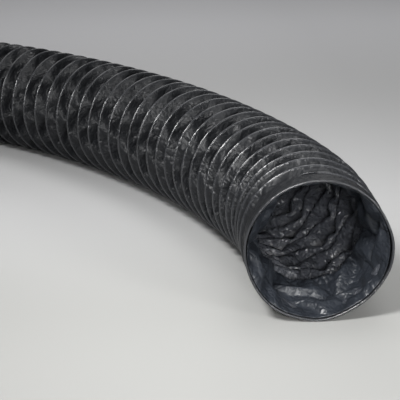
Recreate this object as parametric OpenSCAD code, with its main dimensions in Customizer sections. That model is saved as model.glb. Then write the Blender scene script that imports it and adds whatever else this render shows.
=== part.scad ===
// Flexible air duct: a coated fabric sleeve over a spring wire helix, with a cuff over a wire hoop at each end.
// Millimetres. The origin is the centre of the front mouth, +Y runs into the duct and +Z is up.
// The sleeve and its wire are cut into short sections, so that the duct can bend between them.

/* [Bore and wire] */

// Inside diameter of the cuffs, which slide over a duct spigot
bore_d = 300; // [200:5:450]
// Diameter of the spring wire
wire_d = 3; // [2.5:0.5:6]
// Distance from one turn of the wire to the next
pitch = 56; // [44:1:80]

/* [Fabric] */

// Thickness of the sleeve, two coated plies
sleeve_wall = 1.2; // [0.8:0.1:2.5]
// How far the sleeve sags in between two turns of the wire
sag = 30; // [6:1:36]
// How far it sags where the cuff's lining lies under it
cuff_sag = 4; // [2:0.5:8]
// Thickness of the lining inside the cuffs
lining_wall = 0.8; // [0.5:0.1:2]
// Length of the lining from the mouth inwards
lining_length = 150; // [100:5:160]
// Thickness of the cuff fabric, which is folded over the rim hoop
cuff_wall = 0.8; // [0.5:0.1:1.5]
// Width of the fold inside the mouth, from the rim to its sewn edge
fold_width = 18; // [14:1:30]
// Width of the cuff outside, from the rim to the sleeve
cuff_width = 48; // [30:1:70]
// How much narrower the cuff gets on the way to the sleeve
cuff_taper = 2.5; // [1.5:0.1:2.8]

/* [Stitching] */

// Length of one stitch
stitch_length = 14; // [6:1:20]
// Distance from one stitch to the next
stitch_pitch = 24; // [14:1:40]
// Thickness of the thread
thread_d = 0.6; // [0.4:0.1:1.2]
// Distance from the mouth to the seam
seam_back = 14; // [13.5:0.5:20]

/* [Bends] */

// Bend of each section as the duct lies, in degrees
rest_bend = 2.8; // [0:0.1:6]
// Extra bend of the section next to the front cuff, in degrees
mouth_bend = 7; // [0:0.1:7.5]

/* [Hidden] */

sections = 17;
section_turns = 2;
steps = 15;        // flat sides in a turn: odd, so that a flat faces the floor
gap = 0.3;         // clearance between pieces that touch
wedge = 10;        // from the cuff to where the wire begins
mouth_fall = 0.155; // share of the extra bend that each next section keeps

turns = sections * section_turns;
bore_r = bore_d / 2;
lining_r = bore_r + lining_wall;
fold_r = lining_r + gap;
hoop_r = fold_r + cuff_wall + gap + wire_d / 2;
rim_r = hoop_r + wire_d / 2 + 1.5 * gap + cuff_wall;
crest_r = rim_r / cos(180 / steps);
flat_r = fold_r / cos(180 / steps) + sleeve_wall; // where the sleeve meets the cuff
seam_r = rim_r - cuff_taper * seam_back / cuff_width;
hoop_y = cuff_wall + gap + wire_d / 2;

flat_y = cuff_width;
start_y = flat_y + wedge;
section_length = section_turns * pitch;
wound_length = turns * pitch;
total_length = wound_length + 2 * start_y;

echo(length_mm = total_length, outer_d_mm = 2 * rim_r, turns = turns,
       least_gap_between_turns_mm = least_gap());

// Rest shape. Each section is an arc of its own bend, and both cuffs are straight.

function section_bend(k) = (k < 1 || k > sections - 2) ? 0
  : rest_bend + mouth_bend * pow(mouth_fall, k - 1);

// Chord over arc for a bend of b degrees
function chord(b) = abs(b) < 0.001 ? 1 : sin(b / 2) / (b / 2 * PI / 180);

// The start of each section: x, y and heading
stations = [for (k = 0, x = 0, y = start_y, h = 0; k <= sections;
  x = x - section_length * chord(section_bend(k)) * sin(h + section_bend(k) / 2),
  y = y + section_length * chord(section_bend(k)) * cos(h + section_bend(k) / 2),
  h = h + section_bend(k), k = k + 1) [x, y, h]];

function along(p, d, b) =
  [p[0] - d * chord(b) * sin(p[2] + b / 2), p[1] + d * chord(b) * cos(p[2] + b / 2), p[2] + b];

function centre(s) = s <= start_y ? [0, s, 0]
  : s >= start_y + wound_length ? along(stations[sections], s - start_y - wound_length, 0)
  : let (k = floor((s - start_y) / section_length), d = s - start_y - k * section_length)
    along(stations[k], d, section_bend(k) * d / section_length);

// A point at distance s along the duct, r from its axis, a degrees round from the top
function place(s, r, a) = let (c = centre(s))
  [c[0] + r * sin(a) * cos(c[2]), c[1] + r * sin(a) * sin(c[2]), r * cos(a)];

// The helix: turn u of the wire crosses the top at a whole number

function smooth(x) = let (t = min(1, max(0, x))) t * t * (3 - 2 * t);
function crest_s(u) = start_y + u * pitch;
lined = (lining_length - start_y) / pitch - 0.4; // turns that keep clear of the lining
function valley_depth(u) = cuff_sag
  + (sag - cuff_sag) * smooth((u - lined) / 1.6) * smooth((turns - 1 - lined - u) / 1.6);

function slope_wall(depth) = sleeve_wall / cos(atan(2 * depth / pitch));

// Sleeve of one section: a strip from crest to valley to crest, wound round and joined along its crests
module sleeve(k) {
  first = k == 1;
  last = k == sections;
  u0 = (k - 1) * section_turns - (first ? 1 : 0);
  m = (section_turns + (first ? 1 : 0)) * steps;
  n = steps;
  du = gap / 2 / (2 * PI * crest_r);

  function is_flat(j) = (first && j < n) || (last && j > m);
  function crest_at(j) = is_flat(j) ? (first && j < n ? flat_y : crest_s(turns) + wedge)
    : crest_s(u0 + j / n);
  // edges stand back half a gap from the neighbouring section
  function back_s(j) = is_flat(j) ? 0 : (!first && j <= n) ? gap / 2 : (!last && j >= m) ? -gap / 2 : 0;
  function back_u(j) = (!first && (j == 0 || j == n)) ? du : (!last && (j == m || j == m + n)) ? -du : 0;
  function width(j) = crest_at(j + n) - crest_at(j);
  function depth(j) = valley_depth(u0 + j / n) * min(1, width(j) / pitch)
    * (is_flat(j) || is_flat(j + n) ? 0.25 : 1);
  function wall_at(j) = slope_wall(valley_depth(u0 + j / n));
  function edge_r(j) = is_flat(j) ? flat_r : crest_r;
  function crest(j, in) = place(crest_at(j) + back_s(j),
    edge_r(j) - in * wall_at(min(j, m)), 360 * (u0 + j / n + back_u(j)));
  function valley(j, in) = place((crest_at(j) + crest_at(j + n)) / 2,
    (edge_r(j) + edge_r(j + n)) / 2 - depth(j) - in * wall_at(j),
    360 * (u0 + j / n + (!first && j == 0 ? du : !last && j == m ? -du : 0)));

  points = [for (in = [0, 1]) each concat(
    [for (j = [0:m + n]) crest(j, in)], [for (j = [0:m]) valley(j, in)])];
  v = m + n + 1;
  inner = v + m + 1;

  outer_faces = concat(
    [for (j = [0:m - 1]) each [[j, j + 1, v + j], [j + 1, v + j + 1, v + j],
      [v + j, v + j + 1, j + n], [v + j + 1, j + n + 1, j + n]]],
    first ? [[n - 1, 0, v], [n - 1, v, n]] : [],
    last ? [[m, m + 1, v + m], [m + 1, m + n, v + m]] : []);
  front_loop = first ? [for (j = [0:n - 1]) j] : concat([for (j = [0:n]) j], [v]);
  rear_loop = last ? [for (j = [m + 1:m + n]) j] : concat([for (j = [m:m + n]) j], [v + m]);
  function strip(loop, flip) = let (c = len(loop)) [for (i = [0:c - 1])
    let (p = loop[i], q = loop[(i + 1) % c])
    each flip ? [[p, p + inner, q], [q, p + inner, q + inner]]
      : [[p, q, p + inner], [q, q + inner, p + inner]]];
  polyhedron(points, concat([for (f = outer_faces) [f[0], f[2], f[1]]],
    [for (f = outer_faces) [f[0] + inner, f[1] + inner, f[2] + inner]],
    strip(front_loop, false), strip(rear_loop, true)));
}

// Wire of one section, nested under the crest
wire_half = wire_d / 2;
function wire_top(u) = crest_r
  - slope_wall(valley_depth(u)) - gap * 1.3;
function wire_points(u) = let (r = wire_top(u), s = crest_s(u))
  [place(s, r, 360 * u), place(s + wire_half, r - wire_d, 360 * u), place(s - wire_half, r - wire_d, 360 * u)];

function wire_stops(k) = let (du = gap / 2 / (2 * PI * crest_r), u0 = (k - 1) * section_turns)
  [for (j = [0:section_turns * steps])
    u0 + j / steps + (j == 0 ? du : j == section_turns * steps ? -du : 0)];

module wire(k) {
  stops = wire_stops(k);
  m = len(stops) - 1;
  polyhedron([for (u = stops) each wire_points(u)], concat(
    [[0, 2, 1]],
    [for (j = [0:m - 1], c = [0:2]) let (a = 3 * j + c, b = 3 * j + (c + 1) % 3)
      each [[a, b, a + 3], [b, b + 3, a + 3]]],
    [[3 * m, 3 * m + 1, 3 * m + 2]]));
}

// Least distance between neighbouring turns of the wire, less its own width
function least_gap() = min([for (u = [0:1 / steps:turns - 1])
  norm(wire_points(u)[0] - wire_points(u + 1)[0])]) - 2 * wire_half;

// Cuff pieces, drawn at the front mouth. The rear cuff is the same, turned round.

module round_mouth() rotate([-90, 0, 0]) children();

module at_rear() {
  c = centre(total_length);
  translate([c[0], c[1], 0]) rotate([0, 0, 180 + c[2]]) children();
}

// The hoop's wire is drawn with five sides
module hoop() round_mouth() rotate_extrude($fn = 96)
  translate([hoop_r, hoop_y]) circle(d = wire_d, $fn = 5);

// Cuff: fabric folded over the hoop, down the outside to the sleeve and a short way down inside
module cuff() round_mouth() rotate_extrude($fn = 96) polygon([
  [fold_r, 0], [rim_r, 0], [rim_r - cuff_taper, flat_y - gap],
  [rim_r - cuff_taper - cuff_wall, flat_y - gap], [rim_r - cuff_wall, cuff_wall],
  [fold_r + cuff_wall, cuff_wall], [fold_r + cuff_wall, fold_width], [fold_r, fold_width]]);

module lining() round_mouth() difference() {
  cylinder(r = lining_r, h = lining_length, $fn = 96);
  translate([0, 0, -1]) cylinder(r = bore_r, h = lining_length + 2, $fn = 96);
}

module stitches() {
  count = floor(2 * PI * seam_r / stitch_pitch);
  for (i = [0:count - 1])
    rotate([0, 360 / count * i, 0])
      translate([-stitch_length / 2, seam_back - thread_d / 2, seam_r + gap / 3])
        cube([stitch_length, thread_d, thread_d]);
}

module fabric() color([0.10, 0.10, 0.115]) children();
module plain_fabric() color([0.13, 0.13, 0.145]) children();
module steel() color([0.62, 0.63, 0.65]) children();
module thread() color([0.05, 0.05, 0.055]) children();

module front_rim_hoop() steel() hoop();
module front_cuff() plain_fabric() cuff();
module front_cuff_stitches() thread() stitches();
module front_lining() plain_fabric() lining();
module rear_rim_hoop() steel() at_rear() hoop();
module rear_cuff() plain_fabric() at_rear() cuff();
module rear_cuff_stitches() thread() at_rear() stitches();
module rear_lining() plain_fabric() at_rear() lining();

module sleeve_01() fabric() sleeve(1);
module sleeve_02() fabric() sleeve(2);
module sleeve_03() fabric() sleeve(3);
module sleeve_04() fabric() sleeve(4);
module sleeve_05() fabric() sleeve(5);
module sleeve_06() fabric() sleeve(6);
module sleeve_07() fabric() sleeve(7);
module sleeve_08() fabric() sleeve(8);
module sleeve_09() fabric() sleeve(9);
module sleeve_10() fabric() sleeve(10);
module sleeve_11() fabric() sleeve(11);
module sleeve_12() fabric() sleeve(12);
module sleeve_13() fabric() sleeve(13);
module sleeve_14() fabric() sleeve(14);
module sleeve_15() fabric() sleeve(15);
module sleeve_16() fabric() sleeve(16);
module sleeve_17() fabric() sleeve(17);

module wire_01() steel() wire(1);
module wire_02() steel() wire(2);
module wire_03() steel() wire(3);
module wire_04() steel() wire(4);
module wire_05() steel() wire(5);
module wire_06() steel() wire(6);
module wire_07() steel() wire(7);
module wire_08() steel() wire(8);
module wire_09() steel() wire(9);
module wire_10() steel() wire(10);
module wire_11() steel() wire(11);
module wire_12() steel() wire(12);
module wire_13() steel() wire(13);
module wire_14() steel() wire(14);
module wire_15() steel() wire(15);
module wire_16() steel() wire(16);
module wire_17() steel() wire(17);

front_rim_hoop();
front_cuff();
front_cuff_stitches();
front_lining();
rear_rim_hoop();
rear_cuff();
rear_cuff_stitches();
rear_lining();
sleeve_01();
sleeve_02();
sleeve_03();
sleeve_04();
sleeve_05();
sleeve_06();
sleeve_07();
sleeve_08();
sleeve_09();
sleeve_10();
sleeve_11();
sleeve_12();
sleeve_13();
sleeve_14();
sleeve_15();
sleeve_16();
sleeve_17();
wire_01();
wire_02();
wire_03();
wire_04();
wire_05();
wire_06();
wire_07();
wire_08();
wire_09();
wire_10();
wire_11();
wire_12();
wire_13();
wire_14();
wire_15();
wire_16();
wire_17();
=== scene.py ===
import math

import bmesh
import bpy
import numpy as np
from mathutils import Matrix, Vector


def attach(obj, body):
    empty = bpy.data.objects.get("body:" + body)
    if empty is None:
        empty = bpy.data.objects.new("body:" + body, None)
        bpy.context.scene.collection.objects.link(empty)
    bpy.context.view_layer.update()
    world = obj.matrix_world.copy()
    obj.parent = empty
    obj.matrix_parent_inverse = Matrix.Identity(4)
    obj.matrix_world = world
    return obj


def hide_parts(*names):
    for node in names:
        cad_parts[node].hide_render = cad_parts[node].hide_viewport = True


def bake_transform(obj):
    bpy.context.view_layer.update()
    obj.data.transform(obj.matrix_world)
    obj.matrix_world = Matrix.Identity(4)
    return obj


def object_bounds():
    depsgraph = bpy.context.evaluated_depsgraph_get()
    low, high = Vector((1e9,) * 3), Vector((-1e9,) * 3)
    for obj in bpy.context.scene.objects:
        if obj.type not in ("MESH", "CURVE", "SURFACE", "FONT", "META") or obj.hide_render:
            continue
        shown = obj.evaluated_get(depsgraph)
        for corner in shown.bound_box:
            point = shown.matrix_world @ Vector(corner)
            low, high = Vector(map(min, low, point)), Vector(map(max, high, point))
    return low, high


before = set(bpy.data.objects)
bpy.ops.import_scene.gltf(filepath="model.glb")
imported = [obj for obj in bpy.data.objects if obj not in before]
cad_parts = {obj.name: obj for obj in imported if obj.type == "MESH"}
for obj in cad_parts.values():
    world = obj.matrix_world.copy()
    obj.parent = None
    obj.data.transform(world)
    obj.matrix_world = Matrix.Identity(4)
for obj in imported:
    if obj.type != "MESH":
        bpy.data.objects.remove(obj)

bl_info = {
    "name": "Flexible air duct",
    "version": (1, 0, 0),
    "blender": (4, 5, 0),
    "location": "3D View > Sidebar > Air duct",
    "description": "Fabric, cuffs, wire and stage of a flexible air duct laid over its packed solids",
    "category": "Object",
}

CAD_BOX = [[float(x) for x in corner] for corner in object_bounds()]

# Where the duct lies, in millimetres: the same sections and bends as the solids have.
SECTIONS = 17
SECTION_LENGTH = 112.0
FIRST_TURN = 58.0        # where the wire crosses the top for the first time
PITCH = 56.0
TURNS = 34
LENGTH = 2 * FIRST_TURN + SECTIONS * SECTION_LENGTH
REST_BEND = 2.8
MOUTH_BEND = 7.0
MOUTH_FALL = 0.155

# Half the width of the fabric drawn over the wire, and how high it stands.
POCKET_SIDE = 3.2
POCKET_DEPTH = 3.6
# Rows of cloth between two turns of the wire.
CLOTH_ROWS = 12
# The hoop's distance from the mouth and its radius, and the seam's distance from the mouth.
HOOP_BACK = 3.0
HOOP_RADIUS = 153.5
SEAM_BACK = 14.0
# Where the lining starts, and its radius, width and sewn width.
LINING_BACK = 6.0
LINING_RADIUS = 150.0
LINING_SPAN = 150.0
LINING_LENGTH = 166.0


def linear(code):
    """The linear colour of an sRGB hex code such as #8090a0."""
    parts = [int(code[i:i + 2], 16) / 255 for i in (1, 3, 5)]
    return tuple(c / 12.92 if c <= 0.04045 else ((c + 0.055) / 1.055) ** 2.4 for c in parts)


# ---- The line that the duct lies on ----

def section_bend(k):
    """Bend of section k in degrees, counted from 0."""
    return 0.0 if k < 1 or k > SECTIONS - 2 else REST_BEND + MOUTH_BEND * MOUTH_FALL ** (k - 1)


def stations():
    """Start of each section: x and y in millimetres and heading in degrees."""
    x, y, h = 0.0, FIRST_TURN, 0.0
    rows = []
    for k in range(SECTIONS + 1):
        rows.append((x, y, h))
        b = section_bend(k)
        half = math.radians(b / 2)
        chord = SECTION_LENGTH * (math.sin(half) / half if half > 1e-5 else 1)
        x -= chord * math.sin(math.radians(h) + half)
        y += chord * math.cos(math.radians(h) + half)
        h += b
    return np.array(rows)


STATIONS = stations()
BENDS = np.array([section_bend(k) for k in range(SECTIONS)] + [0.0])


def lay_along(points):
    """Bend points of a straight duct, in millimetres along +Y, onto the line that the duct lies on."""
    s = points[:, 1]
    k = np.clip(np.floor((s - FIRST_TURN) / SECTION_LENGTH), 0, SECTIONS).astype(int)
    d = s - FIRST_TURN - k * SECTION_LENGTH
    part = np.radians(BENDS[k] * d / SECTION_LENGTH)
    half = np.where(np.abs(part) < 1e-5, 1e-5, part) / 2
    chord = d * np.sin(half) / half
    start = STATIONS[k]
    h0 = np.radians(start[:, 2])
    x = start[:, 0] - chord * np.sin(h0 + half)
    y = start[:, 1] + chord * np.cos(h0 + half)
    h = h0 + part
    return np.stack([x + points[:, 0] * np.cos(h), y + points[:, 0] * np.sin(h), points[:, 2]], axis=1)


# ---- Meshes ----

def coordinates(mesh):
    """All points of a mesh as an array."""
    values = np.empty(len(mesh.vertices) * 3)
    mesh.vertices.foreach_get("co", values)
    return values.reshape(-1, 3)


def of_faces(mesh, name):
    """The center or normal of every face of a mesh as an array."""
    values = np.empty(len(mesh.polygons) * 3)
    mesh.polygons.foreach_get(name, values)
    return values.reshape(-1, 3)


def put_back(mesh, points):
    """Write moved points back to their mesh."""
    mesh.vertices.foreach_set("co", points.astype(np.float32).ravel())
    mesh.update()


def remember(mesh, name, values):
    """Give each point of a mesh a value, which a material reads by name."""
    mesh.attributes.new(name, "FLOAT", "POINT").data.foreach_set("value", values.astype(np.float32))


def sealed(mesh, weld=0.0, sides=0):
    """Weld the points of a mesh that lie closer than weld, fill open rings of up to so many sides and turn
    its faces outwards."""
    shape = bmesh.new()
    shape.from_mesh(mesh)
    if weld:
        bmesh.ops.remove_doubles(shape, verts=shape.verts, dist=weld)
    if sides:
        bmesh.ops.holes_fill(shape, edges=[e for e in shape.edges if e.is_boundary], sides=sides)
    bmesh.ops.recalc_face_normals(shape, faces=shape.faces)
    shape.to_mesh(mesh)
    shape.free()


def object_of(name, mesh):
    """A new object in the scene that shows a mesh."""
    piece = bpy.data.objects.new(name, mesh)
    bpy.context.scene.collection.objects.link(piece)
    return piece


def spun(name, profile, steps, turns=1, climb=0.0):
    """A line of (along, radius) points spun round the duct's axis, in millimetres, as a new object.
    climb is how far it moves along in a whole turn. Further turns are copies of the first."""
    shape = bmesh.new()
    corners = [shape.verts.new((0.0, s, r)) for s, r in profile]
    edges = [shape.edges.new(pair) for pair in zip(corners, corners[1:])]
    bmesh.ops.spin(shape, geom=corners + edges, cent=(0, 0, 0), axis=(0, 1, 0), dvec=(0, climb / steps, 0),
                   angle=2 * math.pi, steps=steps, use_merge=not climb, use_duplicate=False)
    mesh = bpy.data.meshes.new(name)
    shape.to_mesh(mesh)
    for turn in range(1, turns):
        known = len(shape.verts)
        shape.from_mesh(mesh)
        shape.verts.ensure_lookup_table()
        bmesh.ops.translate(shape, verts=shape.verts[known:], vec=(0, turn * climb, 0))
    if climb:
        bmesh.ops.remove_doubles(shape, verts=shape.verts, dist=0.02)
        shape.to_mesh(mesh)
    shape.free()
    return object_of(name, mesh)


def outwards(mesh):
    """Turn the faces of an open spun mesh so that they look away from the axis."""
    mesh.update()
    centres, normals = of_faces(mesh, "center"), of_faces(mesh, "normal")
    if (centres[:, 0] * normals[:, 0] + centres[:, 2] * normals[:, 2]).sum() < 0:
        mesh.flip_normals()


def waves(points, size, seed):
    """Smooth seeded noise from -1 to 1 at points in millimetres, as a sum of waves about size long."""
    rng = np.random.RandomState(seed)
    total = np.zeros(len(points))
    for _ in range(14):
        way = rng.normal(size=3)
        way *= 2 * math.pi / (size * rng.uniform(0.7, 1.6)) / np.linalg.norm(way)
        total += np.sin(points @ way + rng.uniform(0, 2 * math.pi))
    return total / math.sqrt(14 / 2) / 1.6


def round_the_duct(points):
    """Angle in turns from the top, radius, and distance along, for points of the straight duct."""
    return (np.arctan2(points[:, 0], points[:, 2]) / (2 * math.pi)) % 1.0, \
        np.hypot(points[:, 0], points[:, 2]), points[:, 1]


def from_round(turn, radius, along):
    """Points of the straight duct from their angle in turns, radius and distance along."""
    a = turn * 2 * math.pi
    return np.stack([radius * np.sin(a), along, radius * np.cos(a)], axis=1)


def ease(x):
    """0 below 0, 1 above 1 and smooth between."""
    t = np.clip(x, 0, 1)
    return t * t * (3 - 2 * t)


# ---- Cloth ----

def links(columns, rows, wrap, hoop, across):
    """Pairs of grid points that the cloth keeps apart: threads both ways, diagonals, and every second
    point, which keeps folds from closing. Each group holds a point once only."""
    column, row = np.meshgrid(np.arange(columns), np.arange(rows), indexing="ij")
    groups = []
    for over, up, period in ((1, 0, 2), (0, 1, 2), (1, 1, 2), (1, -1, 2), (2, 0, 4), (0, 2, 4)):
        far, high = column + over, row + up
        real = (high >= 0) & (high < rows)
        if wrap:
            far = far % columns
        else:
            real &= far < columns
        turn = (column if over else row) % period
        for half in (0, 1):
            pick = real & ((turn >= period // 2) == bool(half))
            length = np.hypot(over * hoop, up * across[column[pick]])
            kind = "fold" if 2 in (over, up) else "diagonal" if over and up else "thread"
            groups.append(((column * rows + row)[pick], (far * rows + high)[pick], length, kind))
    return groups


def settle(grid, held, groups, rounds, fold, push, keep):
    """Cloth come to rest. Its threads resist stretching fully and crumpling less, fold is how far a
    fold may close, and push is the step inwards, in millimetres."""
    p = grid.reshape(-1, 3).copy()
    free = (~held.reshape(-1)).astype(float)
    before = p.copy()
    for moment in range(rounds):
        drift, before = (p - before) * 0.9, p.copy()
        radius = np.hypot(p[:, 0], p[:, 2])[:, None]
        inwards = np.stack([-p[:, 0], 0 * p[:, 0], -p[:, 2]], 1) / radius
        p = p + free[:, None] * (drift + inwards * (push if moment < rounds * 0.7 else 0))
        for one, other, length, kind in groups:
            way = p[other] - p[one]
            now = np.sqrt((way * way).sum(1)) + 1e-9
            if kind == "fold":
                gap = np.minimum(now - length * fold, 0) * 0.25
            else:
                give = 1.0 if kind == "thread" else 0.5
                gap = (now - length) * np.where(now > length, give, 0.8 if kind == "thread" else 0.4)
            share = free[one] + free[other]
            share[share == 0] = 1
            pull = way * (gap / now / share)[:, None]
            p[one] += pull * free[one][:, None]
            p[other] -= pull * free[other][:, None]
        p = keep(p)
    return p.reshape(grid.shape)


def finer(grid, wrap):
    """Twice as many columns and rows, each new point halfway between its neighbours."""
    if wrap:
        grid = np.concatenate([grid, grid[:1]])
    columns, rows, _ = grid.shape
    new = np.empty((2 * columns - 1, 2 * rows - 1, 3))
    new[::2, ::2] = grid
    new[1::2, ::2] = (grid[1:] + grid[:-1]) / 2
    new[:, 1::2] = (new[:, 2::2] + new[:, :-1:2]) / 2
    return new[:-1] if wrap else new


def crumpled(grid, hoop, across, wrap, plan, push, hold, keep, rough, seed):
    """Crumple a coarse grid of cloth, which sets its large facets, then refine it step by step.
    hoop and across are the sewn sizes of one cell, plan the (rounds, fold, jolt) of each step, jolt being
    how far points are shaken in millimetres where rough is 1. hold puts the sewn rows back in place and
    says which they are, and keep holds the cloth in its own space."""
    rng = np.random.RandomState(seed)
    for step, (rounds, fold, jolt) in enumerate(plan):
        columns, rows = grid.shape[:2]
        coarse = np.arange(columns) / 2 ** step
        shaken = np.interp(coarse, np.arange(len(rough)), rough)[:, None, None] * jolt
        grid[:, 1:-1] += rng.normal(size=(columns, rows - 2, 3)) * shaken
        held = hold(grid, step)
        widths = np.interp(coarse, np.arange(len(across)), across) / 2 ** step
        groups = links(columns, rows, wrap, hoop / 2 ** step, widths)
        grid = settle(grid, held, groups, rounds, fold, push, lambda p: keep(p, step, columns, rows))
        if step < len(plan) - 1:
            grid = finer(grid, wrap)
    return grid


def finished(piece, thickness, levels=1, backing=0):
    """A new mesh of the piece in metres, subdivided and given its thickness. backing is how many
    material slots further the inner side's finish is."""
    if levels:
        rounder = piece.modifiers.new("rounder", "SUBSURF")
        rounder.levels = rounder.render_levels = levels
    if thickness:
        wall = piece.modifiers.new("wall", "SOLIDIFY")
        wall.thickness = thickness
        wall.offset = -1.0
        wall.material_offset = backing
        wall.use_even_offset = False
    depsgraph = bpy.context.evaluated_depsgraph_get()
    mesh = bpy.data.meshes.new_from_object(piece.evaluated_get(depsgraph), depsgraph=depsgraph)
    piece.modifiers.clear()
    return mesh


def replaced_mesh(piece, mesh):
    """Give a piece its finished mesh."""
    old = piece.data
    piece.data = mesh
    mesh.name = piece.name
    bpy.data.meshes.remove(old)
    mesh.shade_smooth()


def mark_parts(piece, names, share):
    """Give each face the mark of the part it goes to. share holds the part's number for each face."""
    mesh = piece.data
    mesh.materials.clear()
    for name in names:
        mesh.materials.append(bpy.data.materials.new("mark_" + name))
    mesh.polygons.foreach_set("material_index", share.astype(np.int32))
    mesh.update()


def parted(piece, names):
    """Part a marked mesh into one object for each name."""
    bpy.ops.object.select_all(action="DESELECT")
    bpy.context.view_layer.objects.active = piece
    piece.select_set(True)
    bpy.ops.object.mode_set(mode="EDIT")
    bpy.ops.mesh.select_all(action="SELECT")
    bpy.ops.mesh.separate(type="MATERIAL")
    bpy.ops.object.mode_set(mode="OBJECT")
    pieces = {}
    for part in list(bpy.context.selected_objects):
        name = part.data.materials[part.data.polygons[0].material_index].name[5:]
        part.data.materials.clear()
        part.data.polygons.foreach_set("material_index", np.zeros(len(part.data.polygons), dtype=np.int32))
        part.name = part.data.name = name
        pieces[name] = part
    for name in names:
        bpy.data.materials.remove(bpy.data.materials["mark_" + name])
    return [pieces[name] for name in names]


def across_joint(piece):
    """Bake a piece's place into its mesh, so that it stays where it lies."""
    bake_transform(piece)


# ---- Finishes ----

def add(tree, kind, links=None, **settings):
    """Add a node with its settings. links names its sockets with a value or another node's output."""
    node = tree.nodes.new(kind)
    for name, value in settings.items():
        setattr(node, name, value)
    for socket, value in (links or {}).items():
        if isinstance(value, bpy.types.NodeSocket):
            tree.links.new(value, node.inputs[socket])
        else:
            node.inputs[socket].default_value = value
    return node


def new_material(name):
    """An empty material and its node tree, with an output."""
    material = bpy.data.materials.new(name)
    material.use_nodes = True
    tree = material.node_tree
    tree.nodes.clear()
    return material, tree, tree.nodes.new("ShaderNodeOutputMaterial")


def coated_polyester(name, colour, wear_and_painted_light_colour, roughness, crease, shine=0.3, mark="over_wire", marked=(-0.26, 0.6)):
    """PVC-coated polyester, calendered: satin black film over a weave. crease is how deep the facets of the
    crumpled film are, in millimetres. Where the attribute mark is 1 the film takes the second colour, marked
    holds the change of its roughness and its shine, and it is drawn smooth: on the outside that is over the
    wire, where it is rubbed and where the paler colour is also a painted highlight along the ridges, and on
    the inside it is the hollow beside the wire, where the dark colour is painted shade."""
    material, tree, out = new_material(name)
    where = add(tree, "ShaderNodeTexCoord").outputs["Object"]
    # Handling leaves pale dusty patches about 80 mm across.
    dust = add(tree, "ShaderNodeTexNoise", {"Vector": where, "Scale": 12.0, "Detail": 5.0, "Roughness": 0.6})
    # Crumpling leaves flat facets with straight creases between them, about 34 mm and 13 mm across.
    stir = add(tree, "ShaderNodeTexNoise", {"Vector": where, "Scale": 22.0, "Detail": 2.0})
    bent = add(tree, "ShaderNodeVectorMath", {0: stir.outputs["Color"], 1: (0.014, 0.014, 0.014), 2: where},
               operation="MULTIPLY_ADD")
    large = add(tree, "ShaderNodeTexVoronoi", {"Vector": bent.outputs[0], "Scale": 29.0},
                feature="DISTANCE_TO_EDGE")
    small = add(tree, "ShaderNodeTexVoronoi", {"Vector": bent.outputs[0], "Scale": 77.0},
                feature="DISTANCE_TO_EDGE")
    facets = add(tree, "ShaderNodeMath", {0: small.outputs["Distance"], 1: 0.7, 2: large.outputs["Distance"]},
                 operation="MULTIPLY_ADD")
    # The film's grain, drawn at 3 mm because the weave under it is finer than shows.
    grain = add(tree, "ShaderNodeTexNoise", {"Vector": where, "Scale": 330.0, "Detail": 2.0})
    ridge = add(tree, "ShaderNodeAttribute", attribute_name=mark)
    uneven = add(tree, "ShaderNodeMapRange", {"Value": dust.outputs["Fac"], "From Min": 0.3, "From Max": 0.7,
                                              "To Min": 0.5, "To Max": 1.0})
    # On the outside the second colour over the wire is wear and a painted highlight; on the inside it is
    # painted shade in the hollows.
    wear_and_painted_light_mask = add(tree, "ShaderNodeMath", {0: ridge.outputs["Fac"], 1: uneven.outputs[0]}, operation="MULTIPLY")
    patch = add(tree, "ShaderNodeMapRange", {"Value": dust.outputs["Fac"], "From Min": 0.45, "From Max": 0.8,
                                             "To Max": 0.12})
    pale = add(tree, "ShaderNodeMath", {0: wear_and_painted_light_mask.outputs[0], 1: patch.outputs[0]}, operation="ADD",
               use_clamp=True)
    tone = add(tree, "ShaderNodeMix", {"Factor": pale.outputs[0], "A": (*colour, 1), "B": (*wear_and_painted_light_colour, 1)},
               data_type="RGBA")
    gloss = add(tree, "ShaderNodeMapRange", {"Value": stir.outputs["Fac"], "From Min": 0.3, "From Max": 0.7,
                                             "To Min": roughness - 0.05, "To Max": roughness + 0.06})
    rubbed = add(tree, "ShaderNodeMath", {0: ridge.outputs["Fac"], 1: marked[0], 2: gloss.outputs[0]},
                 operation="MULTIPLY_ADD")
    glint = add(tree, "ShaderNodeMapRange", {"Value": ridge.outputs["Fac"], "To Min": shine,
                                             "To Max": marked[1]})
    strength = add(tree, "ShaderNodeMapRange", {"Value": ridge.outputs["Fac"], "To Min": 1.0, "To Max": 0.15})
    low = add(tree, "ShaderNodeBump", {"Height": facets.outputs[0], "Strength": strength.outputs[0],
                                       "Distance": crease / 1000})
    fine = add(tree, "ShaderNodeBump", {"Height": grain.outputs["Fac"], "Strength": 0.25, "Distance": 0.0006,
                                        "Normal": low.outputs[0]})
    skin = add(tree, "ShaderNodeBsdfPrincipled", {
        "Base Color": tone.outputs["Result"], "Roughness": rubbed.outputs[0], "Normal": fine.outputs[0],
        "Specular IOR Level": glint.outputs[0]})
    tree.links.new(skin.outputs[0], out.inputs["Surface"])
    return material


def spring_wire(name, colour):
    """Drawn spring steel: grey, with fine draw lines along it that stretch its highlights."""
    material, tree, out = new_material(name)
    where = add(tree, "ShaderNodeTexCoord").outputs["Object"]
    lines = add(tree, "ShaderNodeTexNoise", {"Vector": where, "Scale": 900.0, "Detail": 2.0})
    stain = add(tree, "ShaderNodeTexNoise", {"Vector": where, "Scale": 25.0, "Detail": 4.0})
    rough = add(tree, "ShaderNodeMapRange", {"Value": stain.outputs["Fac"], "To Min": 0.28, "To Max": 0.5})
    bump = add(tree, "ShaderNodeBump", {"Height": lines.outputs["Fac"], "Strength": 0.2, "Distance": 0.0002})
    skin = add(tree, "ShaderNodeBsdfPrincipled", {"Base Color": (*colour, 1), "Metallic": 1.0,
                                                  "Roughness": rough.outputs[0], "Normal": bump.outputs[0]})
    tree.links.new(skin.outputs[0], out.inputs["Surface"])
    return material


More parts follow.
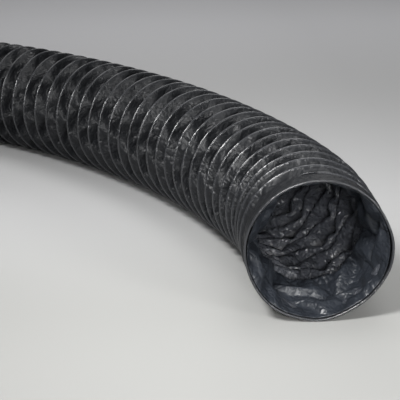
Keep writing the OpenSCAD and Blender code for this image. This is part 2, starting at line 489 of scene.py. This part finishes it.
def sewing_thread(name, colour):
    """Spun polyester thread: matt, with its twist as slanting bands 1.5 mm apart."""
    material, tree, out = new_material(name)
    where = add(tree, "ShaderNodeTexCoord").outputs["Object"]
    twist = add(tree, "ShaderNodeTexWave", {"Vector": where, "Scale": 210.0, "Distortion": 2.0},
                bands_direction="DIAGONAL")
    bump = add(tree, "ShaderNodeBump", {"Height": twist.outputs["Fac"], "Strength": 0.5, "Distance": 0.0003})
    skin = add(tree, "ShaderNodeBsdfPrincipled", {"Base Color": (*colour, 1), "Roughness": 0.75,
                                                  "Normal": bump.outputs[0]})
    tree.links.new(skin.outputs[0], out.inputs["Surface"])
    return material


def paper_backdrop(name, floor, sweep, wall):
    """A painted studio sweep: matt, with a tone each for the floor, the start of the sweep and the wall,
    and a little paler at the left, which is painted light falling from the left."""
    material, tree, out = new_material(name)
    where = add(tree, "ShaderNodeTexCoord").outputs["Object"]
    parts = add(tree, "ShaderNodeSeparateXYZ", {0: where})
    tone = (*floor, 1)
    for start, end, further in ((0.0, 1.0, sweep), (2.0, 4.0, wall)):
        back = add(tree, "ShaderNodeMapRange", {"Value": parts.outputs["Y"], "From Min": start,
                                                "From Max": end}, interpolation_type="SMOOTHSTEP")
        tone = add(tree, "ShaderNodeMix", {"Factor": back.outputs[0], "A": tone, "B": (*further, 1)},
                   data_type="RGBA").outputs["Result"]
    # Painted light: the paper is up to a quarter paler towards the left.
    side = add(tree, "ShaderNodeMapRange", {"Value": parts.outputs["X"], "From Min": -0.9, "From Max": 0.5,
                                            "To Min": 1.25, "To Max": 1.0})
    paint = add(tree, "ShaderNodeVectorMath", {0: tone, "Scale": side.outputs[0]}, operation="SCALE")
    skin = add(tree, "ShaderNodeBsdfPrincipled", {"Base Color": paint.outputs[0], "Roughness": 0.8,
                                                  "Specular IOR Level": 0.2})
    tree.links.new(skin.outputs[0], out.inputs["Surface"])
    return material


def dress(piece, *finishes):
    """Give a piece its finish, or its outer and inner finish."""
    piece.data.materials.clear()
    for material in finishes:
        piece.data.materials.append(material)


# ---- What a user may change ----

class DuctSizes(bpy.types.PropertyGroup):
    """Sizes of the duct's fabric"""
    ridge: bpy.props.FloatProperty(
        name="Ridge radius", description="Outside radius over the wire, in millimetres",
        default=157.6, min=150, max=162)
    slack: bpy.props.FloatProperty(
        name="Fabric between turns", description="Width of fabric sewn in between two turns, in millimetres",
        default=84.0, min=52, max=95)
    snug: bpy.props.FloatProperty(
        name="Fabric near the cuffs", description="The same next to the cuffs, in millimetres",
        default=52.5, min=50.5, max=60)
    throat: bpy.props.FloatProperty(
        name="Lining's inner radius", description="Radius of the lining's free edge, in millimetres",
        default=119.0, min=100, max=148)
    columns: bpy.props.IntProperty(
        name="Columns", description="Columns of cloth in one turn, in fours", default=128, min=60, max=160,
        step=4)


class DuctColours(bpy.types.PropertyGroup):
    """Colours of the duct"""
    fabric: bpy.props.FloatVectorProperty(
        name="Fabric", description="Coated fabric of the sleeve", subtype="COLOR", default=linear("#18191b"))
    inside: bpy.props.FloatVectorProperty(
        name="Inside", description="Inner side of the sleeve's fabric", subtype="COLOR",
        default=linear("#3b3d42"))
    # Paler than the fabric: wear and dust, and also a painted highlight along the ridges and the rim.
    wear_and_painted_light_colour: bpy.props.FloatVectorProperty(
        name="Worn fabric", description="Where the fabric rubs and gathers dust", subtype="COLOR",
        default=linear("#2b2c2f"))
    # Painted shade: a near-black tone for the inner fabric in the hollows beside the wire, where shadow falls.
    hollow: bpy.props.FloatVectorProperty(
        name="Hollows", description="Inner side of the fabric in the hollow along the wire", subtype="COLOR",
        default=linear("#070708"))
    lining: bpy.props.FloatVectorProperty(
        name="Lining", description="Lining inside the cuffs", subtype="COLOR", default=linear("#202328"))
    wire: bpy.props.FloatVectorProperty(
        name="Wire", description="Spring steel wire", subtype="COLOR", default=linear("#9a9b9f"))
    thread: bpy.props.FloatVectorProperty(
        name="Thread", description="Sewing thread", subtype="COLOR", default=linear("#1a1a1c"))
    floor: bpy.props.FloatVectorProperty(
        name="Floor", description="Studio floor", subtype="COLOR", default=linear("#898987"))
    sweep: bpy.props.FloatVectorProperty(
        name="Sweep", description="Where the floor begins to rise", subtype="COLOR", default=linear("#a0a0a0"))
    wall: bpy.props.FloatVectorProperty(
        name="Backdrop", description="Backdrop behind the duct", subtype="COLOR", default=linear("#b8b8ba"))


class DuctStage(bpy.types.PropertyGroup):
    """Camera and light"""
    camera_place: bpy.props.FloatVectorProperty(
        name="Camera", description="Where the camera stands", subtype="TRANSLATION", unit="LENGTH",
        default=(-0.411, -2.545, 0.9057))
    camera_tilt: bpy.props.FloatProperty(
        name="Tilt", description="How far the camera looks down", subtype="ANGLE", default=math.radians(17.15))
    camera_turn: bpy.props.FloatProperty(
        name="Turn", description="How far the camera is turned to the left", subtype="ANGLE",
        default=math.radians(-3.661))
    camera_lens: bpy.props.FloatProperty(
        name="Lens", description="Focal length in millimetres", default=117.88, min=20, max=300)
    key_power: bpy.props.FloatProperty(
        name="Key light", description="Power of the soft box at the left", default=28.0, min=0)
    front_power: bpy.props.FloatProperty(
        name="Front light", description="Power of the soft box beside the camera", default=4.4, min=0)
    top_power: bpy.props.FloatProperty(
        name="Top light", description="Power of the soft box overhead", default=38.0, min=0)
    fill_power: bpy.props.FloatProperty(
        name="Fill light", description="Power of the weak soft box at the right", default=6.5, min=0)
    back_power: bpy.props.FloatProperty(
        name="Back light", description="Power of the soft box behind the duct", default=22.0, min=0)
    sky: bpy.props.FloatProperty(
        name="Room light", description="Strength of the room's even light", default=0.38, min=0)


# ---- Pieces ----

def sleeve_profile(sizes):
    """One pitch of the sleeve as (along, radius) points from one ridge to the next: the fabric is drawn
    over the wire and hangs loose between two turns."""
    top = sizes.ridge
    pocket = [(0.0, top), (1.5, top - 0.4), (2.6, top - 1.6), (POCKET_SIDE, top - POCKET_DEPTH)]
    width = PITCH - 2 * POCKET_SIDE
    free = [(POCKET_SIDE + width * i / CLOTH_ROWS, top - POCKET_DEPTH) for i in range(1, CLOTH_ROWS)]
    return pocket + free + [(PITCH - s, r) for s, r in reversed(pocket)]


class DUCT_OT_sleeve(bpy.types.Operator):
    """Sew and crumple the fabric sleeve, and part it over the joints"""
    bl_idname = "duct.sleeve"
    bl_label = "Sleeve"

    def execute(self, context):
        sizes = context.scene.duct_sizes
        base = sizes.ridge - POCKET_DEPTH
        profile = [(FIRST_TURN - PITCH + s, r) for s, r in sleeve_profile(sizes)]
        columns = sizes.columns // 4 * 4
        piece = spun("sleeve", profile, columns, TURNS + 1, PITCH)
        outwards(piece.data)
        turn, radius, along = round_the_duct(coordinates(piece.data))
        # The fabric between two turns is a strip: strip is how far a point's own strip has wound there,
        # in turns from the start of the wire, and over is how far over the strip the point lies.
        level = (along - FIRST_TURN) / PITCH - turn
        strip = np.floor(level + 1e-4) + turn
        over = np.clip(level - np.floor(level + 1e-4), 0, 1) * PITCH
        # The ridges end where the wire ends.
        crest = np.where(over < PITCH / 2, strip, strip + 1)
        wired = ease((crest + 0.05) / 0.03) * ease((TURNS + 0.05 - crest) / 0.03)
        radius = np.where(radius > base, base + (radius - base) * wired, radius)
        points = from_round(turn, radius, along)
        free = (over > POCKET_SIDE + 0.05) & (over < PITCH - POCKET_SIDE - 0.05)
        cloth = self.cloth(sizes, base)
        column = np.rint((strip + 1) * columns).astype(int)
        row = np.rint((over - POCKET_SIDE) / (PITCH - 2 * POCKET_SIDE) * CLOTH_ROWS).astype(int)
        points[free] = cloth[np.clip(column[free], 0, len(cloth) - 1), np.clip(row[free], 0, CLOTH_ROWS)]
        remember(piece.data, "over_wire", np.clip((radius - base) / 3.0, 0, 1))
        # This mask places the painted shade in the hollows beside the wire, fading out some 15 mm from each
        # pocket.
        remember(piece.data, "in_hollow", ease(1.1 - (np.minimum(over, PITCH - over) - POCKET_SIDE) / 15.0))
        share = self.shares(piece, from_round(turn, np.full(len(turn), base), along))
        for rear in (False, True):
            turn, radius, along = round_the_duct(points)
            points = from_round(turn, radius - end_sag(turn, along, rear), along)
        put_back(piece.data, points / 1000)
        names = ["sleeve_front"] + ["sleeve_over_joint_%02d" % k for k in range(1, SECTIONS)] + ["sleeve_rear"]
        mark_parts(piece, names, share)
        replaced_mesh(piece, finished(piece, 0, 1))
        put_back(piece.data, lay_along(coordinates(piece.data) * 1000) / 1000)
        self.dress_parts(context, parted(piece, names), base)
        return {"FINISHED"}

    def shares(self, piece, plain):
        """Which part each face goes to: the cuts run along the underside. plain holds the points of the
        sleeve without its folds."""
        put_back(piece.data, plain / 1000)
        turn, _, along = round_the_duct(of_faces(piece.data, "center") * 1000)
        strip = np.floor((along - FIRST_TURN) / PITCH - turn) + turn
        return np.clip(np.floor((strip + 1.5) / 2), 0, SECTIONS).astype(int)

    def dress_parts(self, context, parts, base):
        """Give the sleeve's parts their thickness and finish, tie the end parts to their sections and hide the
        solids they replace.
        """
        sizes, colours = context.scene.duct_sizes, context.scene.duct_colours
        skin = coated_polyester("pvc_coated_polyester", colours.fabric, colours.wear_and_painted_light_colour, 0.44, 4.2, shine=0.19)
        # The inner side: the hollows beside the wire get the dark painted shade.
        inner = coated_polyester("pvc_coated_polyester_inside", colours.inside, colours.hollow, 0.34, 7.0,
                                 shine=0.5, mark="in_hollow", marked=(0.2, 0.1))
        for k, part in enumerate(parts):
            dress(part, skin, inner)
            replaced_mesh(part, finished(part, 0.0011, 0, backing=1))
            part.data.set_sharp_from_angle(angle=math.radians(75))
            if k == 0:
                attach(part, "section_01")
                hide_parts("sleeve_01")
            elif k == SECTIONS:
                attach(part, "section_%02d" % SECTIONS)
                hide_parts("sleeve_%02d" % SECTIONS)
            else:
                across_joint(part)
                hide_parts(*(["sleeve_%02d" % k] if k > 1 else []))

    def cloth(self, sizes, base):
        """The crumpled fabric between the turns of the wire, as a grid of columns wound round the duct
        and rows from one pocket to the next."""
        coarse, rows = sizes.columns // 4, CLOTH_ROWS // 4
        columns = coarse * (TURNS + 1) + 1
        rng = np.random.RandomState(3)
        wound = np.arange(columns) / coarse - 1
        loose = ease((wound - 0.9) / 1.6) * ease((TURNS - 1.9 - wound) / 1.6)
        width = sizes.snug + 2 + (sizes.slack - sizes.snug - 2) * loose
        t = np.linspace(0, 1, rows + 1)
        span = PITCH - 2 * POCKET_SIDE
        depth = 0.45 * np.sqrt(np.maximum(width ** 2 - span ** 2, 1))[:, None] * np.sin(np.pi * t)
        inner = np.sin(np.pi * t) > 0.1
        rough = 0.12 + 0.88 * loose
        radius = base - depth + rng.normal(size=(columns, rows + 1)) * 5.0 * rough[:, None] * inner
        along = FIRST_TURN + PITCH * wound[:, None] + POCKET_SIDE + t * span
        along = along + rng.normal(size=along.shape) * 3.5 * rough[:, None] * inner
        turns = np.repeat(wound % 1.0, rows + 1)
        grid = from_round(turns, radius.ravel(), along.ravel()).reshape(columns, rows + 1, 3)

        def hold(grid, step):
            u = np.arange(grid.shape[0]) / (coarse * 2 ** step) - 1
            for row, off in ((0, POCKET_SIDE), (-1, PITCH - POCKET_SIDE)):
                grid[:, row] = from_round(u % 1.0, np.full(len(u), base), FIRST_TURN + PITCH * u + off)
            held = np.zeros(grid.shape[:2], bool)
            held[:, 0] = held[:, -1] = True
            return held

        def keep(p, step, columns, rows):
            radius = np.hypot(p[:, 0], p[:, 2])
            inside = np.clip(radius, 106.0, base + 1.2) / radius
            low = FIRST_TURN + PITCH * (np.repeat(np.arange(columns), rows) / (coarse * 2 ** step) - 1) + 2.4
            return np.stack([p[:, 0] * inside, np.clip(p[:, 1], low, low + PITCH - 4.8), p[:, 2] * inside], 1)

        plan = ((100, 0.6, 0.0), (36, 0.65, 2.4), (14, 0.8, 1.1))
        hoop = 2 * math.pi * base / coarse
        return crumpled(grid, hoop, width / rows, False, plan, 0.05, hold, keep, rough, 7)


class DUCT_OT_wire(bpy.types.Operator):
    """Wind the spring wire, round, inside its pocket"""
    bl_idname = "duct.wire"
    bl_label = "Spring wire"

    def execute(self, context):
        centre, thick = context.scene.duct_sizes.ridge - 2.5, 1.35
        ring = [(FIRST_TURN + thick * math.sin(a), centre + thick * math.cos(a))
                for a in (i * math.pi / 3 for i in range(7))]
        piece = spun("wire", ring, 72, TURNS, PITCH)
        sealed(piece.data, sides=6)
        wound = (of_faces(piece.data, "center")[:, 1] - FIRST_TURN) / PITCH
        share = np.clip(np.floor((wound + 1) / 2), 0, SECTIONS).astype(int)
        put_back(piece.data, lay_along(coordinates(piece.data)) / 1000)
        piece.data.shade_smooth()
        names = ["wire_front"] + ["wire_over_joint_%02d" % k for k in range(1, SECTIONS)] + ["wire_rear"]
        skin = spring_wire("drawn_spring_steel", context.scene.duct_colours.wire)
        mark_parts(piece, names, share)
        for k, part in enumerate(parted(piece, names)):
            dress(part, skin)
            if k == 0:
                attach(part, "section_01")
                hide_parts("wire_01")
            elif k == SECTIONS:
                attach(part, "section_%02d" % SECTIONS)
                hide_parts("wire_%02d" % SECTIONS)
            else:
                across_joint(part)
                if k > 1:
                    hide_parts("wire_%02d" % k)
        return {"FINISHED"}


def cuff_wave(turn, along):
    """How far the cuff's fabric stands in or out, in millimetres, at an angle in turns and a distance
    from the mouth. It lies tight over the hoop and along the seam."""
    points = from_round(turn, np.full(len(turn), 150.0), along)
    sewn = np.exp(-((along - SEAM_BACK) / 3.0) ** 2)
    band = ease((along - 6) / 6) * ease((57 - along) / 9) * (1 - 0.8 * sewn)
    return (waves(points, 70, 21) * 1.7 + waves(points, 34, 22) * 1.1 - 1.0) * band


def hoop_sag(turn):
    """How far the thin hoop is bent inwards, in millimetres: it bulges at the right, with a corner
    below that, and has flats at the lower right and under the mouth."""
    a = turn * 360
    return 5.2 * np.exp(-((a - 150) / 19) ** 2) + 1.5 * np.exp(-((a - 127) / 11) ** 2) \
        + 2.0 * np.exp(-((a - 195) / 12) ** 2) + 1.5 * np.exp(-((a - 245) / 16) ** 2) \
        - 3.2 * np.exp(-((a - 92) / 19) ** 4) - 2.6 * np.exp(-((a - 282) / 20) ** 2)


def end_sag(turn, along, rear):
    """The same for the fabric behind the hoop, which keeps less and less of it up to the first wire."""
    if rear:
        turn, along = (1 - turn) % 1.0, LENGTH - along
    return hoop_sag(turn) * ease((60 - along) / 45)


def at_end(points, rear):
    """Points of a cuff drawn at the front mouth, in millimetres, put at the front or rear end."""
    if not rear:
        return points
    turned = points * np.array([-1.0, -1.0, 1.0])
    turned[:, 1] += LENGTH
    return lay_along(turned)


class DUCT_OT_cuffs(bpy.types.Operator):
    """Fold the cuff fabric over each hoop and sew it down"""
    bl_idname = "duct.cuffs"
    bl_label = "Cuffs"

    def execute(self, context):
        colours = context.scene.duct_colours
        skin = coated_polyester("pvc_coated_polyester_cuff", colours.fabric, colours.wear_and_painted_light_colour, 0.5, 5.0, shine=0.12)
        thread = sewing_thread("spun_polyester_thread", colours.thread)
        steel = spring_wire("drawn_spring_steel_hoop", colours.wire)
        # Round the cuff: its sewn inner edge, the bead over the hoop, the seam drawn in by its thread, the
        # band, and the end tucked under the sleeve.
        bead = [(HOOP_BACK - 2.75 * math.cos(math.radians(a)), HOOP_RADIUS + 2.75 * math.sin(math.radians(a)))
                for a in range(-80, 100, 20)]
        seam = [(7.5, 155.2), (11.5, 155.0), (13, 154.3), (14, 153.9), (15, 154.3), (16.5, 155.0)]
        band = [(s, 155.1 - 0.01 * (s - 16)) for s in (20, 26, 32, 38, 44, 50, 55, 58)]
        profile = [(18, 150.9), (14, 150.8), (9, 150.9), (5, 151.0)] + bead + seam + band \
            + [(59.0, 153.6), (56.0, 153.1)]
        for rear in (False, True):
            end = "rear" if rear else "front"
            body = "section_%02d" % (SECTIONS if rear else 1)
            cuff = spun(end + "_cuff_fabric", profile, 120)
            outwards(cuff.data)
            turn, radius, along = round_the_duct(coordinates(cuff.data))
            outside = (radius > 153.2) & (along > 6)
            radius = radius + np.where(outside, cuff_wave(turn, along), 0) - end_sag(turn, along, False)
            put_back(cuff.data, from_round(turn, radius, along) / 1000)
            # The fabric is rubbed where it lies over the hoop, and its paler colour there is also a painted
            # highlight along the rim.
            remember(cuff.data, "over_wire", 0.8 * np.exp(-((along - 1.0) / 3.0) ** 2))
            replaced_mesh(cuff, finished(cuff, 0.0007, 1))
            put_back(cuff.data, at_end(coordinates(cuff.data) * 1000, rear) / 1000)
            stitches = self.stitches(end, rear)
            hoop = self.hoop(end, rear)
            for piece, finish, slot, node in ((cuff, skin, "cuff_fabric", "_cuff"),
                                              (stitches, thread, "thread", "_cuff_stitches"),
                                              (hoop, steel, "spring_wire", "_rim_hoop")):
                dress(piece, finish)
                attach(piece, body)
                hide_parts(end + node)
        return {"FINISHED"}

    def hoop(self, end, rear):
        """The wire hoop inside the fold of a cuff."""
        ring = [(HOOP_BACK + 1.45 * math.sin(a), HOOP_RADIUS + 1.45 * math.cos(a))
                for a in (j * math.pi / 4 for j in range(9))]
        piece = spun(end + "_hoop_wire", ring, 96)
        sealed(piece.data, weld=0.01)
        turn, radius, along = round_the_duct(coordinates(piece.data))
        put_back(piece.data, at_end(from_round(turn, radius - hoop_sag(turn), along), rear) / 1000)
        piece.data.shade_smooth()
        return piece

    def stitches(self, end, rear):
        """Long thread stitches that lie on the cuff's seam, as one piece."""
        radius, length, thick, count = 154.1, 14.0, 0.45, 40
        span = length / (2 * math.pi * 154.0)
        shape = bmesh.new()
        for i in range(count):
            corners = np.radians(np.arange(6) * 60.0)
            ring = [shape.verts.new(point) for point in from_round(
                np.full(6, i / count), radius + thick * np.sin(corners), SEAM_BACK + thick * np.cos(corners))]
            edges = [shape.edges.new((ring[j], ring[(j + 1) % 6])) for j in range(6)]
            face = shape.faces.new(ring)
            bmesh.ops.spin(shape, geom=ring + edges + [face], cent=(0, 0, 0), axis=(0, 1, 0),
                           angle=2 * math.pi * span, steps=4, use_merge=False, use_duplicate=False)
        bmesh.ops.recalc_face_normals(shape, faces=shape.faces)
        mesh = bpy.data.meshes.new(end + "_cuff_seam")
        shape.to_mesh(mesh)
        shape.free()
        turn, radius, along = round_the_duct(coordinates(mesh))
        radius = radius + cuff_wave(turn, np.full(len(turn), SEAM_BACK)) - hoop_sag(turn)
        put_back(mesh, at_end(from_round(turn, radius, along), rear) / 1000)
        return object_of(end + "_cuff_seam", mesh)


def lifted(turn):
    """1 where the lining hangs close to the sleeve, at the top of the mouth, and 0 elsewhere."""
    return ease(2.6 * np.cos(2 * math.pi * turn) - 1.5)


class DUCT_OT_linings(bpy.types.Operator):
    """Crumple the loose lining inside each cuff"""
    bl_idname = "duct.linings"
    bl_label = "Linings"

    def execute(self, context):
        sizes = context.scene.duct_sizes
        colours = context.scene.duct_colours
        skin = coated_polyester("pvc_coated_polyester_lining", colours.lining, colours.wear_and_painted_light_colour, 0.38, 4.0)
        for rear in (False, True):
            end = "rear" if rear else "front"
            body = "section_%02d" % (SECTIONS if rear else 1)
            rows, columns = 32, 160
            profile = [(LINING_BACK + LINING_SPAN * i / rows, LINING_RADIUS) for i in range(rows + 1)]
            piece = spun(end + "_lining_fabric", profile, columns)
            outwards(piece.data)
            turn, _, along = round_the_duct(coordinates(piece.data))
            cloth = self.cloth(sizes.throat, rear)
            column = np.rint(turn * columns).astype(int) % columns
            row = np.clip(np.rint((along - LINING_BACK) / LINING_SPAN * rows).astype(int), 0, rows)
            put_back(piece.data, cloth[column, row] / 1000)
            replaced_mesh(piece, finished(piece, 0.0007, 1))
            put_back(piece.data, at_end(coordinates(piece.data) * 1000, rear) / 1000)
            dress(piece, skin)
            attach(piece, body)
            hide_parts(end + "_lining")
        return {"FINISHED"}

    def cloth(self, throat, rear):
        """One lining as a closed grid of crumpled cloth that narrows from the rim to its free edge."""
        coarse, rows = 20, 4
        rng = np.random.RandomState(61 + rear)
        t = np.linspace(0, 1, rows + 1)
        turns = np.arange(coarse) / coarse
        # It lies in heavier folds below than at the top, where it is shorter, and nearly smooth at the left.
        up = lifted(turns)
        rough = (1 - 0.7 * up) * (1 - 0.7 * np.exp(-((turns - 0.8) / 0.11) ** 2))
        edge = throat + 20.0 * up + rng.normal(size=coarse) * 3.0
        radius = LINING_RADIUS - (LINING_RADIUS - edge[:, None]) * t ** 1.05
        radius[:, 1:-1] += (rng.normal(size=(coarse, rows - 1)) * 8.0 - 3.0) * rough[:, None]
        along = LINING_BACK + (148.0 - 35.0 * up[:, None]) * t
        along = along + rng.normal(size=radius.shape) * 5.0 * (t > 0.1) * rough[:, None]
        grid = from_round(np.repeat(turns, rows + 1), radius.ravel(), along.ravel())
        grid = grid.reshape(coarse, rows + 1, 3)

        def hold(grid, step):
            turn = np.arange(grid.shape[0]) / grid.shape[0]
            grid[:, 0] = from_round(turn, LINING_RADIUS + 0.2 - hoop_sag(turn), np.full(len(turn), LINING_BACK))
            held = np.zeros(grid.shape[:2], bool)
            held[:, 0] = held[:, -1] = True
            return held

        def keep(p, step, columns, rows):
            radius = np.hypot(p[:, 0], p[:, 2])
            turn = round_the_duct(p)[0]
            highest = 149.8 - 0.1 * np.maximum(p[:, 1] - 50, 0) - np.maximum(end_sag(turn, p[:, 1], False), 0)
            lowest = 104.0 + (41.0 - 0.15 * p[:, 1]) * lifted(turn)
            inside = np.clip(radius, lowest, highest) / radius
            return np.stack([p[:, 0] * inside, np.clip(p[:, 1], 5.5, 163.0), p[:, 2] * inside], 1)

        hoop = 2 * math.pi * 151.5 / coarse
        across = np.append(LINING_LENGTH - 45.0 * up, LINING_LENGTH) / rows
        plan = ((80, 0.6, 0.0), (40, 0.6, 2.0), (16, 0.7, 0.9), (8, 0.8, 0.3))
        return crumpled(grid, hoop, across, True, plan, 0.03, hold, keep, rough, 8 + rear)


class DUCT_OT_stage(bpy.types.Operator):
    """Set up the floor, backdrop, soft boxes and camera"""
    bl_idname = "duct.stage"
    bl_label = "Stage"

    def execute(self, context):
        stage = context.scene.duct_stage
        colours = context.scene.duct_colours
        scene = context.scene
        # The sweep: a flat round floor that curves up into a wall all round, well behind every camera.
        shape = bmesh.new()
        line = [(0.0, 0.0), (4.0, 0.0), (11.0, 0.0)] + [
            (11.0 + 3.0 * math.sin(math.radians(a)), 3.0 - 3.0 * math.cos(math.radians(a)))
            for a in range(10, 91, 10)] + [(14.0, 8.0)]
        corners = [shape.verts.new((r, 0.0, CAD_BOX[0][2] + z)) for r, z in line]
        edges = [shape.edges.new(pair) for pair in zip(corners, corners[1:])]
        bmesh.ops.spin(shape, geom=corners + edges, cent=(0, 0, 0), axis=(0, 0, 1), angle=2 * math.pi, steps=64,
                       use_merge=True, use_duplicate=False)
        mesh = bpy.data.meshes.new("studio_sweep")
        shape.to_mesh(mesh)
        shape.free()
        sealed(mesh, weld=0.001)
        mesh.update()
        if sum(face.normal.z * face.area for face in mesh.polygons) < 0:
            mesh.flip_normals()
        mesh.shade_smooth()
        sweep = object_of("studio_sweep", mesh)
        dress(sweep, paper_backdrop("matt_studio_paper", colours.floor, colours.sweep, colours.wall))
        for name, place, aim, size, spread, power in (
                ("key_soft_box", (-1.25, -1.3, 2.2), (-0.05, 0.2, 0.0), 0.6, 85, stage.key_power),
                ("front_soft_box", (-0.2, -2.7, 0.95), (0.02, 0.15, -0.02), 0.6, 40, stage.front_power),
                ("top_soft_box", (0.3, 0.9, 3.0), (0.0, 0.5, 0.0), 1.8, 180, stage.top_power),
                ("fill_soft_box", (1.7, -2.1, 0.75), (0.0, 0.15, 0.0), 0.8, 60, stage.fill_power),
                ("back_soft_box", (1.0, 4.6, 2.6), (-0.3, 2.2, 0.0), 1.6, 150, stage.back_power)):
            lamp = bpy.data.lights.new(name, "AREA")
            lamp.energy, lamp.size = power, size
            lamp.spread = math.radians(spread)
            box = bpy.data.objects.new(name, lamp)
            scene.collection.objects.link(box)
            box.location = place
            box.rotation_euler = (Vector(aim) - Vector(place)).to_track_quat("-Z", "Y").to_euler()
        world = scene.world or bpy.data.worlds.new("room")
        scene.world = world
        world.use_nodes = True
        world.node_tree.nodes.clear()
        light = add(world.node_tree, "ShaderNodeBackground", {"Color": (1, 1, 1, 1), "Strength": stage.sky})
        out = add(world.node_tree, "ShaderNodeOutputWorld")
        world.node_tree.links.new(light.outputs[0], out.inputs["Surface"])
        camera = bpy.data.cameras.new("camera")
        camera.lens, camera.sensor_width = stage.camera_lens, 36.0
        camera.clip_end = 50.0
        eye = bpy.data.objects.new("camera", camera)
        scene.collection.objects.link(eye)
        eye.location = stage.camera_place
        eye.rotation_euler = (math.pi / 2 - stage.camera_tilt, 0, stage.camera_turn)
        scene.camera = eye
        scene.view_settings.view_transform = "Standard"
        return {"FINISHED"}


class DUCT_PT_panel(bpy.types.Panel):
    """The duct's pieces in the sidebar"""
    bl_idname = "DUCT_PT_panel"
    bl_label = "Air duct"
    bl_space_type = "VIEW_3D"
    bl_region_type = "UI"
    bl_category = "Air duct"

    def draw(self, context):
        column = self.layout.column()
        for settings in (context.scene.duct_sizes, context.scene.duct_colours, context.scene.duct_stage):
            for name in type(settings).__annotations__:
                column.prop(settings, name)
        for piece in (DUCT_OT_stage, DUCT_OT_sleeve, DUCT_OT_wire, DUCT_OT_cuffs, DUCT_OT_linings):
            column.operator(piece.bl_idname)


CLASSES = (DuctSizes, DuctColours, DuctStage, DUCT_OT_stage, DUCT_OT_sleeve, DUCT_OT_wire, DUCT_OT_cuffs,
           DUCT_OT_linings, DUCT_PT_panel)


def register():
    for kind in CLASSES:
        bpy.utils.register_class(kind)
    bpy.types.Scene.duct_sizes = bpy.props.PointerProperty(type=DuctSizes)
    bpy.types.Scene.duct_colours = bpy.props.PointerProperty(type=DuctColours)
    bpy.types.Scene.duct_stage = bpy.props.PointerProperty(type=DuctStage)


def unregister():
    for name in ("duct_sizes", "duct_colours", "duct_stage"):
        delattr(bpy.types.Scene, name)
    for kind in reversed(CLASSES):
        bpy.utils.unregister_class(kind)


def main():
    """Build the stage and every piece."""
    register()
    bpy.ops.duct.stage()
    bpy.ops.duct.sleeve()
    bpy.ops.duct.wire()
    bpy.ops.duct.cuffs()
    bpy.ops.duct.linings()


if __name__ == "__main__":
    main()
